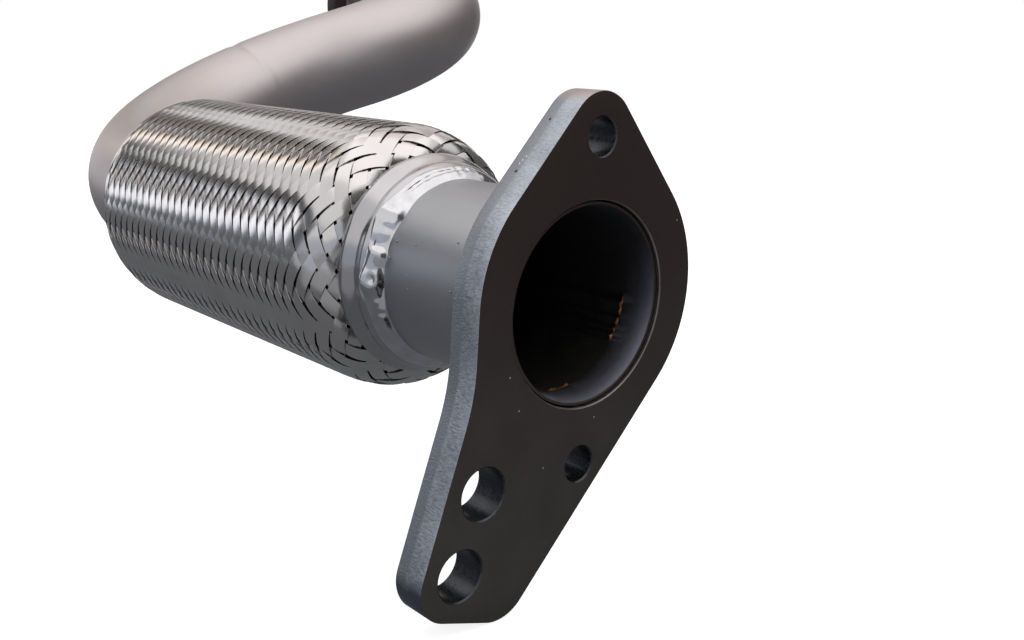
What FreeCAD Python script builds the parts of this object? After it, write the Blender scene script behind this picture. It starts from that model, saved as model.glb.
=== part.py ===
"""Exhaust flex pipe: flanged inlet, braided bellows and an offset outlet pipe with a two-bolt flange.

The origin is the centre of the inlet bore on the plate's front face. +X points out of that face, +Z runs
up the line of the two studs, and the pipe runs away along -X. All sizes are millimetres and degrees.
"""
import FreeCAD, Part
import Sketcher
import math
import os
from FreeCAD import Placement, Rotation, Vector

# Driving dimensions: name, value, what it is
SIZES = [
    # Inlet plate
    ("stud_spacing", 91.5, "between the two stud holes of either plate"),
    ("stud_hole", 10.5, "diameter of a stud hole"),
    ("bore_gap", 0.5, "between the plate's bore and the pipe in it"),
    ("lobe_radius", 12.0, "round a stud hole"),
    ("inlet_body_radius", 41.0, "round the bore of the inlet plate"),
    ("inlet_body_lift", 2.0, "of that round above the bore's centre"),
    ("inlet_body_shift", 1.0, "of that round away from the leg's side"),
    ("inlet_thickness", 11.0, "of the inlet plate"),
    ("leg_tilt", 17.1, "of the leg's outer edge from upright"),
    ("foot_hole_y", -41.9, "sideways place of the leg's lower hole"),
    ("foot_hole_z", -68.3, "height of the leg's lower hole"),
    ("leg_hole", 14.5, "diameter of the leg's two holes"),
    ("leg_hole_spacing", 22.4, "between them, up the leg"),
    ("leg_margin", 12.5, "from the holes' line to the leg's outer edge"),
    ("foot_margin", 13.0, "from the lower hole to the leg's end"),
    ("foot_outer_radius", 11.0, "of the leg's outer bottom corner"),
    ("foot_inner_radius", 12.0, "of the leg's inner bottom corner"),
    ("foot_reach", 14.5, "from the holes' line to the inner corner's centre"),
    ("waist_radius", 60.0, "of the hollow between the round and the leg"),
    ("waist_rise", 38.0, "of that hollow's centre above the lower hole"),
    ("hole_chamfer", 0.4, "on the front edges of the holes"),
    # Pipe
    ("pipe_radius", 28.5, "outside"),
    ("pipe_wall", 1.5, "thickness"),
    ("pipe_lip", 0.6, "rounding of the pipe's inner edge at either mouth"),
    ("mouth_recess", 1.0, "of the pipe's end behind a plate's face"),
    ("weld_leg", 4.0, "of the fillet welds behind the plates"),
    # Flex section
    ("flex_start", 60.0, "from the inlet face to the front cap's nose"),
    ("flex_length", 188.0, "from nose to nose"),
    ("layer_gap", 0.3, "between layers that move on each other"),
    ("cap_wall", 1.6, "thickness of a cap ring"),
    ("cap_depth", 11.0, "of a cap ring along the pipe"),
    ("cap_bevel", 2.2, "at the cap's nose"),
    ("lip_rise", 2.3, "of the cap's rolled lip"),
    ("lip_length", 3.8, "of that lip along the pipe"),
    ("cap_weld_leg", 3.4, "of the weld at a cap's nose"),
    ("stub_overlap", 5.0, "of a pipe's end past the cap's nose"),
    ("braid_radius", 43.6, "outside"),
    ("braid_wall", 1.4, "thickness of the woven layer"),
    ("shoulder_length", 16.0, "of the braid's rise out of a cap"),
    ("braid_ridges", 12, "ridges over the straight part, each for two rows of strips"),
    ("ridge_depth", 0.5, "of the groove between two ridges"),
    ("ridge_gap", 2.4, "width of that groove"),
    ("weave_gap", 1.5, "width of a gap in the weave at a cap"),
    ("strips_round", 24, "strips each way round the braid"),
    ("bellows_wall", 0.5, "thickness"),
    ("bellows_root", 31.5, "inside radius of a fold's root"),
    ("folds", 14, "in the bellows"),
    ("fold_start", 12.0, "from the cap's lip to the first fold"),
    ("liner_rings", 17, "locked turns of the inner liner"),
    ("liner_groove", 0.6, "depth of the groove between two turns"),
    # Outlet
    ("bend_lead", 5.3, "from the rear cap's nose to the first bend"),
    ("bend_roll", 23.4, "of the bends' plane from level"),
    ("bend_angle", 119.7, "of each of the two bends"),
    ("near_bend_radius", 105.0, "of the bend next to the flex section"),
    ("far_bend_radius", 57.0, "of the bend next to the outlet plate"),
    ("bend_link", 10.0, "straight between the bends"),
    ("outlet_run", 41.9, "straight after the far bend"),
    ("outlet_body_radius", 40.0, "round the bore of the outlet plate"),
    ("outlet_thickness", 10.0, "of the outlet plate"),
]

doc = FreeCAD.newDocument("exhaust_flex_pipe")
sheet = doc.addObject("Spreadsheet::Sheet", "dims")
for row, (name, value, note) in enumerate(SIZES, start=1):
    sheet.set(f"A{row}", name)
    sheet.set(f"B{row}", str(value))
    sheet.set(f"C{row}", note)
    sheet.setAlias(f"B{row}", name)
doc.recompute()

# Places along the pipe and round it that several pieces share
FRONT_NOSE = "(-dims.flex_start)"
REAR_NOSE = "(-dims.flex_start - dims.flex_length)"
SLEEVE_IN = "(dims.pipe_radius + dims.layer_gap)"
BRAID_SLEEVE_IN = f"({SLEEVE_IN} + dims.bellows_wall + dims.layer_gap)"
CAP_IN = f"({BRAID_SLEEVE_IN} + dims.braid_wall + dims.layer_gap)"
BAND = f"({CAP_IN} + dims.cap_wall)"
BEND_START = f"({REAR_NOSE} - dims.bend_lead)"
BORE = "(dims.pipe_radius + dims.bore_gap)"
OFFSET = ("((dims.near_bend_radius + dims.far_bend_radius) * (1 - cos(dims.bend_angle))"
          " + dims.bend_link * sin(dims.bend_angle))")
OUTLET_MOUTH = (f"({BEND_START} - (dims.near_bend_radius + dims.far_bend_radius) * sin(dims.bend_angle)"
                " - dims.bend_link * cos(dims.bend_angle) - dims.outlet_run)")
OUTLET_FACE = f"({OUTLET_MOUTH} - dims.mouth_recess)"


def value_of(expression):
    """The number that an expression of the sheet's sizes has now."""
    return float(sheet.evalExpression(str(expression)))


def new_body(label):
    body = doc.addObject("PartDesign::Body", label)
    body.Label = label
    return body


def new_sketch(body, name, plane, offset=None):
    """A sketch on one of the body's own planes, moved along its normal where an offset is given."""
    sketch = body.newObject("Sketcher::SketchObject", name)
    origin_plane = next(o for o in body.Origin.OriginFeatures if o.Role == plane)
    sketch.AttachmentSupport = [(origin_plane, "")]
    sketch.MapMode = "FlatFace"
    if offset:
        sketch.setExpression("AttachmentOffset.Base.z", offset)
    return sketch


def bind(sketch, kind, where, expression):
    """Add a size constraint whose value follows an expression of the sheet's sizes."""
    index = sketch.addConstraint(Sketcher.Constraint(kind, *where, value_of(expression)))
    sketch.setExpression(f"Constraints[{index}]", str(expression))


def polygon(sketch, corners):
    """A closed outline of straight edges through corners given as pairs of expressions."""
    first = sketch.GeometryCount
    count = len(corners)
    points = [Vector(value_of(across), value_of(up), 0) for across, up in corners]
    edges = [Part.LineSegment(points[i], points[(i + 1) % count]) for i in range(count)]
    sketch.addGeometry(edges, False)
    for i in range(count):
        joint = Sketcher.Constraint("Coincident", first + i, 2, first + (i + 1) % count, 1)
        sketch.addConstraint(joint)
    for i, (across, up) in enumerate(corners):
        bind(sketch, "DistanceX", (-1, 1, first + i, 1), across)
        bind(sketch, "DistanceY", (-1, 1, first + i, 1), up)


def circle(sketch, across, up, radius):
    """A full circle with its centre and radius given as expressions."""
    centre = Vector(value_of(across), value_of(up), 0)
    index = sketch.addGeometry(Part.Circle(centre, Vector(0, 0, 1), value_of(radius)), False)
    bind(sketch, "DistanceX", (-1, 1, index, 3), across)
    bind(sketch, "DistanceY", (-1, 1, index, 3), up)
    bind(sketch, "Radius", (index,), radius)


def belt(sketch, rounds):
    """An outline that runs round circles like a belt, anticlockwise.

    Each round is (across, up, radius, side): side 1 turns left round it, side -1 right, as in a hollow.
    """
    data = []
    for across, up, radius, side in rounds:
        data.append((Vector(value_of(across), value_of(up), 0), value_of(radius), side))
    count = len(data)
    leave = []
    arrive = [None] * count
    for i, (centre, radius, side) in enumerate(data):
        after, after_radius, after_side = data[(i + 1) % count]
        span = after - centre
        lean = math.asin((after_side * after_radius - side * radius) / span.Length)
        heading = math.atan2(span.y, span.x) - lean
        left = Vector(-math.sin(heading), math.cos(heading), 0)
        leave.append(centre - left * (side * radius))
        arrive[(i + 1) % count] = after - left * (after_side * after_radius)
    for i, (centre, radius, side) in enumerate(data):
        start = arrive[i] - centre
        end = leave[i] - centre
        if side < 0:
            start, end = end, start
        full = Part.Circle(centre, Vector(0, 0, 1), radius)
        arc = Part.ArcOfCircle(full, math.atan2(start.y, start.x), math.atan2(end.y, end.x))
        sketch.addGeometry(arc, False)
    for i in range(count):
        sketch.addGeometry(Part.LineSegment(leave[i], arrive[(i + 1) % count]), False)
    for i, (across, up, radius, side) in enumerate(rounds):
        following = (i + 1) % count
        out_end = 2 if side > 0 else 1
        in_end = 1 if rounds[following][3] > 0 else 2
        sketch.addConstraint(Sketcher.Constraint("Tangent", i, out_end, count + i, 1))
        sketch.addConstraint(Sketcher.Constraint("Tangent", count + i, 2, following, in_end))
        bind(sketch, "DistanceX", (-1, 1, i, 3), across)
        bind(sketch, "DistanceY", (-1, 1, i, 3), up)
        bind(sketch, "Radius", (i,), radius)


def revolve(body, sketch, kind="Revolution"):
    """Turn a profile round the pipe's axis, adding (Revolution) or cutting (Groove)."""
    feature = body.newObject(f"PartDesign::{kind}", f"{sketch.Name}_turned")
    feature.Profile = sketch
    feature.ReferenceAxis = (sketch, ["H_Axis"])
    feature.Angle = 360
    doc.recompute()
    return feature


def ring(label, corners):
    """A ring turned about the pipe's axis from corners (along, out)."""
    body = new_body(label)
    sketch = new_sketch(body, f"{label}_profile", "XZ_Plane")
    polygon(sketch, corners)
    revolve(body, sketch)
    return body


def circle_edges(shape, along, radius):
    """Names of the edges that are circles of this radius at this place along the pipe."""
    names = []
    for number, edge in enumerate(shape.Edges, start=1):
        curve = edge.Curve
        if not isinstance(curve, Part.Circle):
            continue
        if abs(curve.Radius - radius) < 0.01 and abs(curve.Center.x - along) < 0.01:
            names.append(f"Edge{number}")
    return names


def dress(body, kind, edges, size):
    """A fillet or chamfer on the tip of a body."""
    tip = body.Tip
    feature = body.newObject(f"PartDesign::{kind}", f"{body.Label}_{kind.lower()}")
    feature.Base = (tip, edges)
    feature.setExpression("Radius" if kind == "Fillet" else "Size", size)
    doc.recompute()
    return feature


def repeat_along(body, feature, sketch, count, length):
    """Repeat a feature along the pipe's axis, towards -X."""
    pattern = body.newObject("PartDesign::LinearPattern", f"{feature.Name}_row")
    pattern.Originals = [feature]
    pattern.Direction = (sketch, ["H_Axis"])
    pattern.Reversed = True
    pattern.setExpression("Length", length)
    pattern.setExpression("Occurrences", count)
    body.Tip = pattern
    doc.recompute()


def repeat_round(body, feature, sketch, count):
    """Repeat a feature all round the pipe's axis."""
    pattern = body.newObject("PartDesign::PolarPattern", f"{feature.Name}_round")
    pattern.Originals = [feature]
    pattern.Axis = (sketch, ["H_Axis"])
    pattern.Angle = 360
    pattern.setExpression("Occurrences", count)
    body.Tip = pattern
    doc.recompute()


def plate(label, outline, thickness, holes, inward):
    """A flat plate with round holes: it grows from its face towards -X, or towards +X if inward is 1."""
    body = new_body(label)
    outline_sketch = new_sketch(body, f"{label}_outline", "YZ_Plane")
    belt(outline_sketch, outline)
    pad = body.newObject("PartDesign::Pad", f"{label}_pad")
    pad.Profile = outline_sketch
    pad.setExpression("Length", thickness)
    pad.Reversed = inward < 0
    doc.recompute()
    hole_sketch = new_sketch(body, f"{label}_holes", "YZ_Plane")
    for across, up, radius in holes:
        circle(hole_sketch, across, up, radius)
    pocket = body.newObject("PartDesign::Pocket", f"{label}_cut")
    pocket.Profile = hole_sketch
    pocket.Type = "ThroughAll"
    pocket.Reversed = inward > 0
    doc.recompute()
    return body


def hole_edges(body, radii):
    """Front edges, at the plate's own face, of the holes with these radii."""
    names = []
    for number, edge in enumerate(body.Shape.Edges, start=1):
        curve = edge.Curve
        full = isinstance(curve, Part.Circle) and edge.isClosed()
        at_face = full and abs(body.Placement.inverse().multVec(curve.Center).x) < 0.01
        if at_face and any(abs(curve.Radius - radius) < 0.01 for radius in radii):
            names.append(f"Edge{number}")
    return names


def leg_point(down, outward):
    """A place on the inlet plate's leg, from its lower hole: down along the leg and out to its edge."""
    across = f"dims.foot_hole_y - ({down}) * sin(dims.leg_tilt) - ({outward}) * cos(dims.leg_tilt)"
    up = f"dims.foot_hole_z - ({down}) * cos(dims.leg_tilt) + ({outward}) * sin(dims.leg_tilt)"
    return across, up


# Inlet plate: a two-bolt body with a leg that carries two larger holes
upper_round = ("0", "dims.stud_spacing / 2", "dims.lobe_radius", 1)
bore_round = ("dims.inlet_body_shift", "dims.inlet_body_lift", "dims.inlet_body_radius", 1)
waist = (*leg_point("-dims.waist_rise", "dims.leg_margin + dims.waist_radius"), "dims.waist_radius", -1)
outer_foot = (
    *leg_point("dims.foot_margin - dims.foot_outer_radius", "dims.leg_margin - dims.foot_outer_radius"),
    "dims.foot_outer_radius",
    1,
)
inner_foot = (
    *leg_point("dims.foot_margin - dims.foot_inner_radius", "-dims.foot_reach"),
    "dims.foot_inner_radius",
    1,
)
stud_holes = [
    ("0", "dims.stud_spacing / 2", "dims.stud_hole / 2"),
    ("0", "-dims.stud_spacing / 2", "dims.stud_hole / 2"),
]
leg_holes = [
    (*leg_point("0", "0"), "dims.leg_hole / 2"),
    (*leg_point("-dims.leg_hole_spacing", "0"), "dims.leg_hole / 2"),
]
inlet_flange = plate(
    "inlet_flange",
    [upper_round, bore_round, waist, outer_foot, inner_foot, bore_round],
    "dims.inlet_thickness",
    [("0", "0", BORE)] + stud_holes + leg_holes,
    -1,
)
drilled = [value_of("dims.stud_hole / 2"), value_of("dims.leg_hole / 2")]
dress(inlet_flange, "Chamfer", hole_edges(inlet_flange, drilled), "dims.hole_chamfer")

# Inlet pipe stub, welded behind the plate, with a rounded mouth
stub_end = f"{FRONT_NOSE} - dims.stub_overlap"
pipe_in = "(dims.pipe_radius - dims.pipe_wall)"
inlet_stub = ring("inlet_stub", [
    ("-dims.mouth_recess", pipe_in),
    ("-dims.mouth_recess", "dims.pipe_radius"),
    (stub_end, "dims.pipe_radius"),
    (stub_end, pipe_in),
])
mouth = circle_edges(inlet_stub.Shape, -value_of("dims.mouth_recess"), value_of(pipe_in))
dress(inlet_stub, "Fillet", mouth, "dims.pipe_lip")


def fillet_weld(label, root, leg, way):
    """A slightly full fillet weld on the pipe, from a flat at root and growing along way (1 is +X)."""
    return ring(label, [
        (root, "dims.pipe_radius"),
        (root, f"dims.pipe_radius + {leg}"),
        (f"{root} + {way} * 0.6 * {leg}", f"dims.pipe_radius + 0.6 * {leg}"),
        (f"{root} + {way} * {leg}", "dims.pipe_radius"),
    ])


fillet_weld("inlet_flange_weld", "(-dims.inlet_thickness)", "dims.weld_leg", -1)


def cap_ring(label, nose, way):
    """A pressed ring that closes on the pipe at its nose and holds the braid under a rolled lip."""
    rim = f"{nose} + {way} * dims.cap_depth"
    flare = f"{rim} - {way} * dims.lip_length"
    body = ring(label, [
        (nose, "dims.pipe_radius"),
        (nose, f"{BAND} - dims.cap_wall"),
        (f"{nose} + {way} * dims.cap_bevel", BAND),
        (flare, BAND),
        (f"{flare} + {way} * 0.3 * dims.lip_length", f"{BAND} + dims.lip_rise"),
        (rim, f"{BAND} + dims.lip_rise"),
        (rim, f"{CAP_IN} + dims.lip_rise"),
        (flare, CAP_IN),
        (f"{nose} + {way} * dims.cap_wall", CAP_IN),
        (f"{nose} + {way} * dims.cap_wall", "dims.pipe_radius"),
    ])
    crest = value_of(f"{BAND} + dims.lip_rise")
    shoulder = value_of(f"{flare} + {way} * 0.3 * dims.lip_length")
    edges = circle_edges(body.Shape, shoulder, crest) + circle_edges(body.Shape, value_of(rim), crest)
    dress(body, "Fillet", edges, "0.7 * dims.cap_wall")
    return body


cap_ring("front_cap_ring", FRONT_NOSE, -1)
fillet_weld("front_cap_weld", FRONT_NOSE, "dims.cap_weld_leg", 1)


def braid_profile():
    """The woven sleeve's section: a sleeve under each cap, an elliptical shoulder and a straight body."""
    inset = "(dims.cap_wall + 2 * dims.layer_gap)"
    outer_start = f"({CAP_IN} + dims.lip_rise - dims.layer_gap)"
    outer = []
    inner = []
    for nose, way in ((FRONT_NOSE, -1), (REAR_NOSE, 1)):
        rim = f"{nose} + {way} * (dims.cap_depth + dims.layer_gap)"
        flare = f"{rim} - {way} * dims.lip_length"
        outer_side = [
            (f"{nose} + {way} * {inset}", f"{CAP_IN} - dims.layer_gap"),
            (flare, f"{CAP_IN} - dims.layer_gap"),
        ]
        inner_side = [
            (f"{nose} + {way} * {inset}", BRAID_SLEEVE_IN),
            (flare, BRAID_SLEEVE_IN),
        ]
        for turn in range(0, 91, 30):
            outer_side.append((
                f"{rim} + {way} * dims.shoulder_length * (1 - cos({turn}))",
                f"{outer_start} + (dims.braid_radius - {outer_start}) * sin({turn})",
            ))
            inner_side.append((
                f"{rim} + {way} * (dims.braid_wall + (dims.shoulder_length - dims.braid_wall)"
                f" * (1 - cos({turn})))",
                f"{outer_start} - dims.braid_wall + (dims.braid_radius - {outer_start}) * sin({turn})",
            ))
        outer += outer_side if way < 0 else outer_side[::-1]
        inner += inner_side if way < 0 else inner_side[::-1]
    return outer + inner[::-1]


# Outer braid: ridges that stand for rows of strips, and open gaps in the weave beside the caps
outer_braid = ring("outer_braid", braid_profile())
shoulder_end = "(dims.cap_depth + dims.layer_gap + dims.shoulder_length)"
body_start = f"({FRONT_NOSE} - {shoulder_end})"
body_length = f"(dims.flex_length - 2 * {shoulder_end})"
ridge_pitch = f"({body_length} / dims.braid_ridges)"
ridge_sketch = new_sketch(outer_braid, "braid_ridge", "XZ_Plane")
groove_middle = f"({body_start} - {ridge_pitch})"
polygon(ridge_sketch, [
    (f"{groove_middle} + dims.ridge_gap / 2", "dims.braid_radius"),
    (groove_middle, "dims.braid_radius - dims.ridge_depth"),
    (f"{groove_middle} - dims.ridge_gap / 2", "dims.braid_radius"),
    (f"{groove_middle} - dims.ridge_gap / 2", "dims.braid_radius + dims.ridge_depth"),
    (f"{groove_middle} + dims.ridge_gap / 2", "dims.braid_radius + dims.ridge_depth"),
])
ridge_groove = revolve(outer_braid, ridge_sketch, "Groove")
grooves_length = f"(dims.braid_ridges - 2) * {ridge_pitch}"
repeat_along(outer_braid, ridge_groove, ridge_sketch, "dims.braid_ridges - 1", grooves_length)
gap_sketch = new_sketch(outer_braid, "weave_gap", "XY_Plane")
for rim, way in ((f"({FRONT_NOSE} - dims.cap_depth)", -1), (f"({REAR_NOSE} + dims.cap_depth)", 1)):
    middle = f"({rim} + {way} * 0.35 * dims.shoulder_length)"
    polygon(gap_sketch, [
        (f"{middle} - dims.weave_gap / 2", "0"),
        (middle, "-dims.weave_gap / 2"),
        (f"{middle} + dims.weave_gap / 2", "0"),
        (middle, "dims.weave_gap / 2"),
    ])
gap = outer_braid.newObject("PartDesign::Pocket", "weave_gap_cut")
gap.Profile = gap_sketch
gap.Type = "ThroughAll"
gap.Reversed = True
doc.recompute()
repeat_round(outer_braid, gap, gap_sketch, "dims.strips_round")

# Bellows: folded thin wall between two plain sleeves
fold_first = f"({FRONT_NOSE} - dims.cap_depth - dims.fold_start)"
fold_pitch = "((dims.flex_length - 2 * dims.cap_depth - 2 * dims.fold_start) / dims.folds)"
fold_crest = "(dims.braid_radius - dims.braid_wall - 2 * dims.layer_gap)"
fold_rise = f"({fold_crest} - dims.bellows_root - dims.bellows_wall)"
# The wall is measured square to a fold's slope, so it is thicker measured straight out
fold_wall = f"(dims.bellows_wall * sqrt(1 + ({fold_rise} / (0.5 * {fold_pitch}))^2))"
bellows = new_body("bellows")
sleeve_sketch = new_sketch(bellows, "bellows_sleeves", "XZ_Plane")
for nose, start, way in (
    (FRONT_NOSE, fold_first, -1),
    (REAR_NOSE, f"({fold_first} - dims.folds * {fold_pitch})", 1),
):
    sleeve_tip = f"{nose} + {way} * (dims.cap_wall + 2 * dims.layer_gap)"
    neck = f"{nose} + {way} * dims.cap_depth"
    polygon(sleeve_sketch, [
        (sleeve_tip, SLEEVE_IN),
        (sleeve_tip, f"{SLEEVE_IN} + dims.bellows_wall"),
        (neck, f"{SLEEVE_IN} + dims.bellows_wall"),
        (start, "dims.bellows_root + dims.bellows_wall"),
        (start, "dims.bellows_root"),
        (neck, SLEEVE_IN),
    ])
fold_sketch = new_sketch(bellows, "bellows_fold", "XZ_Plane")
polygon(fold_sketch, [
    (fold_first, "dims.bellows_root"),
    (fold_first, f"dims.bellows_root + {fold_wall}"),
    (f"{fold_first} - 0.5 * {fold_pitch}", fold_crest),
    (f"{fold_first} - {fold_pitch}", f"dims.bellows_root + {fold_wall}"),
    (f"{fold_first} - {fold_pitch}", "dims.bellows_root"),
    (f"{fold_first} - 0.5 * {fold_pitch}", f"{fold_crest} - {fold_wall}"),
])
fold = revolve(bellows, fold_sketch)
repeat_along(bellows, fold, fold_sketch, "dims.folds", f"(dims.folds - 1) * {fold_pitch}")
revolve(bellows, sleeve_sketch)

# Interlock liner: a tube of locked turns inside the bellows, between the ends of the two pipes
liner_front = f"({FRONT_NOSE} - dims.stub_overlap - dims.layer_gap)"
liner_rear = f"({REAR_NOSE} + dims.stub_overlap + dims.layer_gap)"
liner_pitch = f"(({liner_front} - {liner_rear}) / dims.liner_rings)"
interlock_liner = ring("interlock_liner", [
    (liner_front, pipe_in),
    (liner_front, "dims.pipe_radius"),
    (liner_rear, "dims.pipe_radius"),
    (liner_rear, pipe_in),
])
turn_sketch = new_sketch(interlock_liner, "liner_turn", "XZ_Plane")
polygon(turn_sketch, [
    (f"{liner_front} - 0.4 * {liner_pitch}", f"{pipe_in} - dims.liner_groove"),
    (f"{liner_front} - 0.4 * {liner_pitch}", f"{pipe_in} + dims.liner_groove"),
    (f"{liner_front} - 0.6 * {liner_pitch}", f"{pipe_in} + dims.liner_groove"),
    (f"{liner_front} - 0.6 * {liner_pitch}", f"{pipe_in} - dims.liner_groove"),
])
turn_groove = revolve(interlock_liner, turn_sketch, "Groove")
repeat_along(
    interlock_liner, turn_groove, turn_sketch, "dims.liner_rings", f"(dims.liner_rings - 1) * {liner_pitch}"
)

cap_ring("rear_cap_ring", REAR_NOSE, 1)
fillet_weld("rear_cap_weld", REAR_NOSE, "dims.cap_weld_leg", -1)

# Outlet pipe: two opposite bends in one plane, which is rolled about the inlet axis
outlet_pipe = new_body("outlet_pipe")
outlet_pipe.Placement = Placement(Vector(), Rotation(Vector(1, 0, 0), 1))
outlet_pipe.setExpression("Placement.Rotation.Angle", "dims.bend_roll")
pipe_start = f"({REAR_NOSE} + dims.stub_overlap)"
route = new_sketch(outlet_pipe, "outlet_route", "XY_Plane")
bend = math.radians(value_of("dims.bend_angle"))
near = value_of("dims.near_bend_radius")
far = value_of("dims.far_bend_radius")
start_point = Vector(value_of(pipe_start), 0, 0)
first_turn = Vector(value_of(BEND_START), 0, 0)
near_centre = first_turn + Vector(0, near, 0)
near_end = near_centre + Vector(-math.sin(bend), -math.cos(bend), 0) * near
link = Vector(-math.cos(bend), math.sin(bend), 0) * value_of("dims.bend_link")
far_start = near_end + link
far_centre = far_start + Vector(-math.sin(bend), -math.cos(bend), 0) * far
far_end = far_centre + Vector(0, far, 0)
mouth_point = far_end - Vector(value_of("dims.outlet_run"), 0, 0)
near_circle = Part.Circle(near_centre, Vector(0, 0, 1), near)
far_circle = Part.Circle(far_centre, Vector(0, 0, 1), far)
route.addGeometry([
    Part.LineSegment(start_point, first_turn),
    Part.ArcOfCircle(near_circle, -math.pi / 2 - bend, -math.pi / 2),
    Part.LineSegment(near_end, far_start),
    Part.ArcOfCircle(far_circle, math.pi / 2 - bend, math.pi / 2),
    Part.LineSegment(far_end, mouth_point),
], False)
route.addConstraint([
    Sketcher.Constraint("Tangent", 0, 2, 1, 2),
    Sketcher.Constraint("Tangent", 1, 1, 2, 1),
    Sketcher.Constraint("Tangent", 2, 2, 3, 1),
    Sketcher.Constraint("Tangent", 3, 2, 4, 1),
    Sketcher.Constraint("Horizontal", 0),
    Sketcher.Constraint("Horizontal", 4),
])
bind(route, "DistanceX", (-1, 1, 0, 1), pipe_start)
bind(route, "DistanceY", (-1, 1, 0, 1), "0")
bind(route, "DistanceX", (-1, 1, 0, 2), BEND_START)
bind(route, "Radius", (1,), "dims.near_bend_radius")
bind(route, "Radius", (3,), "dims.far_bend_radius")
bind(route, "Distance", (2,), "dims.bend_link")
bind(route, "DistanceX", (-1, 1, 4, 2), OUTLET_MOUTH)
bind(route, "DistanceY", (-1, 1, 4, 2), OFFSET)
section = new_sketch(outlet_pipe, "outlet_section", "YZ_Plane", offset=pipe_start)
circle(section, "0", "0", "dims.pipe_radius")
circle(section, "0", "0", pipe_in)
run = outlet_pipe.newObject("PartDesign::AdditivePipe", "outlet_run")
run.Profile = section
run.Spine = route
doc.recompute()


def at_outlet(body):
    """Place a body on the outlet pipe's last run, with its own origin at the outlet face."""
    body.setExpression("Placement.Base.x", OUTLET_FACE)
    body.setExpression("Placement.Base.y", f"{OFFSET} * cos(dims.bend_roll)")
    body.setExpression("Placement.Base.z", f"{OFFSET} * sin(dims.bend_roll)")
    doc.recompute()


at_outlet(fillet_weld("outlet_flange_weld", "dims.outlet_thickness", "dims.weld_leg", 1))

# Outlet plate: two bolts on one line through the bore
lower_round = ("0", "-dims.stud_spacing / 2", "dims.lobe_radius", 1)
outlet_round = ("0", "0", "dims.outlet_body_radius", 1)
outlet_flange = plate(
    "outlet_flange",
    [upper_round, outlet_round, lower_round, outlet_round],
    "dims.outlet_thickness",
    [("0", "0", BORE)] + stud_holes,
    1,
)
dress(outlet_flange, "Chamfer", hole_edges(outlet_flange, drilled[:1]), "dims.hole_chamfer")
at_outlet(outlet_flange)

doc.recompute()
for item in doc.Objects:
    if "Invalid" in item.State or "Error" in item.State:
        raise RuntimeError(f"{item.Name} did not build: {item.State}")

os.makedirs("parts", exist_ok=True)
bodies = [item for item in doc.Objects if item.TypeId == "PartDesign::Body"]
for body in bodies:
    shape = body.Shape
    if shape.isNull() or not shape.isValid() or len(shape.Solids) != 1:
        raise RuntimeError(f"{body.Label} is not one valid solid")
for body in bodies:
    body.Shape.exportStep(f"parts/{body.Label}.step")
    print(body.Label, round(body.Shape.Volume, 1), body.Shape.BoundBox)
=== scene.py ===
"""Looks of an exhaust flex pipe: plates, tubes, rolled caps, weld beads and a woven sleeve of flat strips.

Lengths are metres, in the part's own frame: the origin is the centre of the inlet bore on the plate's front
face, +X points out of it and +Z runs up the line of the studs. Sizes in millimetres are named and turned by MM.
"""
import math
from functools import partial

import bmesh
import bpy
from mathutils import Matrix, Vector, noise


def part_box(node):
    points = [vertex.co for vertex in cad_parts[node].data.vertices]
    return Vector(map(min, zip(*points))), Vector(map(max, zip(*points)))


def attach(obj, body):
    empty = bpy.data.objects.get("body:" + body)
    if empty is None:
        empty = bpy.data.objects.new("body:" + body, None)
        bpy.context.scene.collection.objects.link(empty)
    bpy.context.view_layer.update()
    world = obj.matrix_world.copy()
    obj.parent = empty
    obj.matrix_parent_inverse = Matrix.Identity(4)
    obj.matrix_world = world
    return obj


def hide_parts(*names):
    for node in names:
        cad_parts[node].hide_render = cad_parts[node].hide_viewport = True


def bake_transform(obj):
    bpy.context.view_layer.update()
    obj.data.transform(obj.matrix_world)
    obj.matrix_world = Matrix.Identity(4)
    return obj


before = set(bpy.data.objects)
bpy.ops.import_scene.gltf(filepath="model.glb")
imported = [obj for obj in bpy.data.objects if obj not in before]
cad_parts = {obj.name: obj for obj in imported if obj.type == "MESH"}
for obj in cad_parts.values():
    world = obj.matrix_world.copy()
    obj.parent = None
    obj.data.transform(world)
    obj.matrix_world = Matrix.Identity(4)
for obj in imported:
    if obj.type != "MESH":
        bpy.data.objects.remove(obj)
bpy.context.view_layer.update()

bl_info = {
    "name": "Exhaust flex pipe",
    "version": (1, 0, 0),
    "blender": (4, 5, 0),
    "location": "3D Viewport > Sidebar > Flex pipe",
    "description": "Builds the finished pieces of a braided exhaust flex pipe on its CAD frame",
    "category": "Object",
}

MM = 0.001

# Places that come from the frame
STUB_LOW, STUB_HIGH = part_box("inlet_stub")
PLATE_LOW, PLATE_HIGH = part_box("inlet_flange")
OUTLET_LOW, OUTLET_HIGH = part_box("outlet_flange")
FRONT_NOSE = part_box("front_cap_ring")[1].x
REAR_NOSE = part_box("rear_cap_ring")[0].x
BRAID_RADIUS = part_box("outer_braid")[1].z
PIPE_RADIUS = STUB_HIGH.z
FLEX_MIDDLE = (FRONT_NOSE + REAR_NOSE) / 2
OUTLET_AXIS = ((OUTLET_LOW.y + OUTLET_HIGH.y) / 2, (OUTLET_LOW.z + OUTLET_HIGH.z) / 2)


def linear(hex_colour):
    """An sRGB hex colour as a linear RGBA tuple."""
    channels = [int(hex_colour[i:i + 2], 16) / 255 for i in (1, 3, 5)]
    return tuple(c / 12.92 if c <= 0.04045 else ((c + 0.055) / 1.055) ** 2.4 for c in channels) + (1.0,)


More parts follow.
